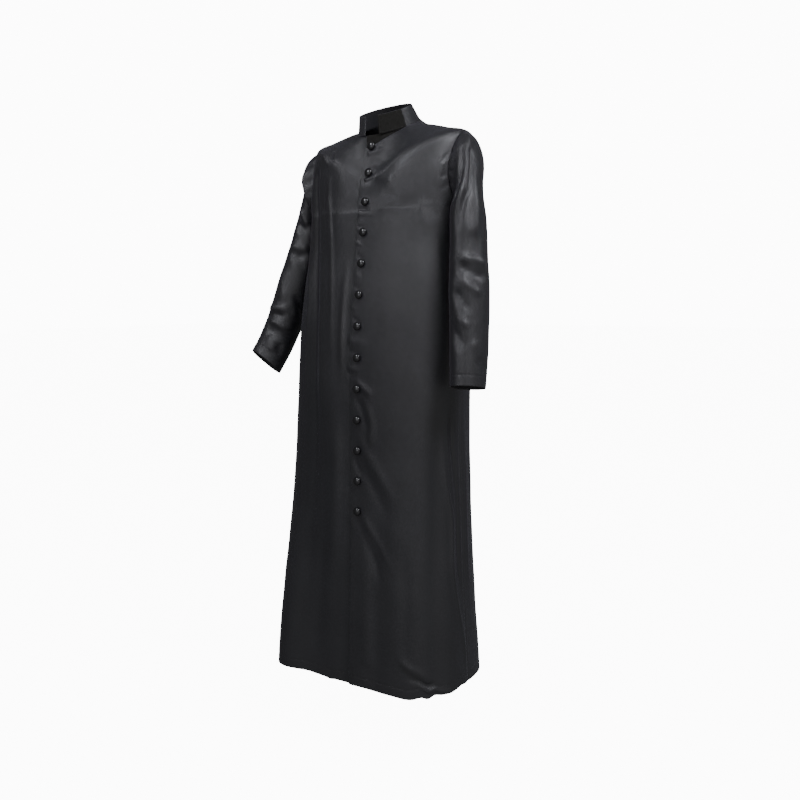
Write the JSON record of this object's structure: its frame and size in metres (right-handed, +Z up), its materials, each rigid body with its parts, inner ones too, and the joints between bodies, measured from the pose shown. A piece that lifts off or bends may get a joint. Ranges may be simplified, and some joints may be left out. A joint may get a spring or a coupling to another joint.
{
  "type": "cassock",
  "caption": "Ankle-length black satin cassock with a standing collar, a buttoned front and long sleeves, shown as worn and open at neck, cuffs and hem.",
  "frame": {"origin": "centre of the neckline ring, where the garment is held by the neck and shoulders of its wearer", "axes": "+Z up along the garment's length; the wearer faces -Y and the wearer's left is +X"},
  "size_m": [0.714, 0.3793, 1.4495],
  "materials": {
    "satin": "black satin with a soft sheen",
    "tape": "matte black hook-and-loop tape",
    "button": "polished black, domed"
  },
  "bodies": {
    "root": {"front_left": "satin", "front_right": "satin", "back": "satin", "sleeve_left": "satin", "sleeve_right": "satin", "collar": "satin", "collar_tape": "tape", "neck_tape": "tape", "button_01": "button", "button_02": "button", "button_03": "button", "button_04": "button", "button_05": "button", "button_06": "button", "button_07": "button", "button_08": "button", "button_09": "button", "button_10": "button", "button_11": "button", "button_12": "button", "button_13": "button"}
  },
  "joints": []
}
